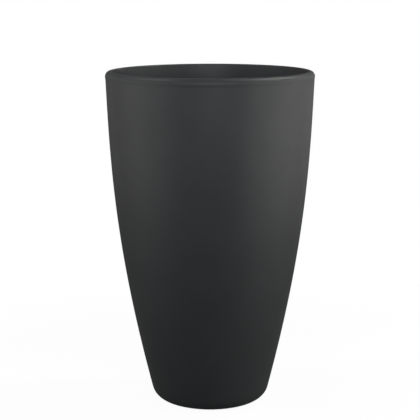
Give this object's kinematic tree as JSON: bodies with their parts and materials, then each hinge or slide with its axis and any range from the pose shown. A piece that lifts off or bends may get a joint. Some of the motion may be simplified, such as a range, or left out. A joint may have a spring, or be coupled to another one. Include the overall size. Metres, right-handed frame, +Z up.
{
  "type": "tall round planter",
  "caption": "Tall round fibreglass planter with a rolled rim, a tapering wall and a rounded foot, holding a lift-out soil shelf over a bunged drain.",
  "frame": {"origin": "on the ground under the middle of the planter", "axes": "+Z up along the planter's axis; the planter is round, and the picture is taken from the -Y side"},
  "size_m": [0.42, 0.42, 0.6823],
  "materials": {
    "gelcoat": "satin anthracite gelcoat on glass-fibre laminate",
    "moulded_plastic": "matte black moulding",
    "laminate": "rough painted laminate",
    "rubber": "matte black rubber"
  },
  "bodies": {
    "planter": {"shell": "gelcoat", "shelf_cleat_1": "laminate", "shelf_cleat_2": "laminate", "shelf_cleat_3": "laminate", "shelf_cleat_4": "laminate", "foot_pad_1": "rubber", "foot_pad_2": "rubber", "foot_pad_3": "rubber", "foot_pad_4": "rubber"},
    "soil_shelf": {"soil_shelf": "moulded_plastic"},
    "drain_bung": {"drain_bung": "rubber"}
  },
  "joints": [
    {"name": "shelf_lift", "type": "slide", "parent": "planter", "child": "soil_shelf", "axis": [0, 0, 1], "range_m": [0, 0.36]},
    {"name": "bung_pull", "type": "slide", "parent": "planter", "child": "drain_bung", "axis": [0, 0, 1], "range_m": [0, 0.7]}
  ]
}
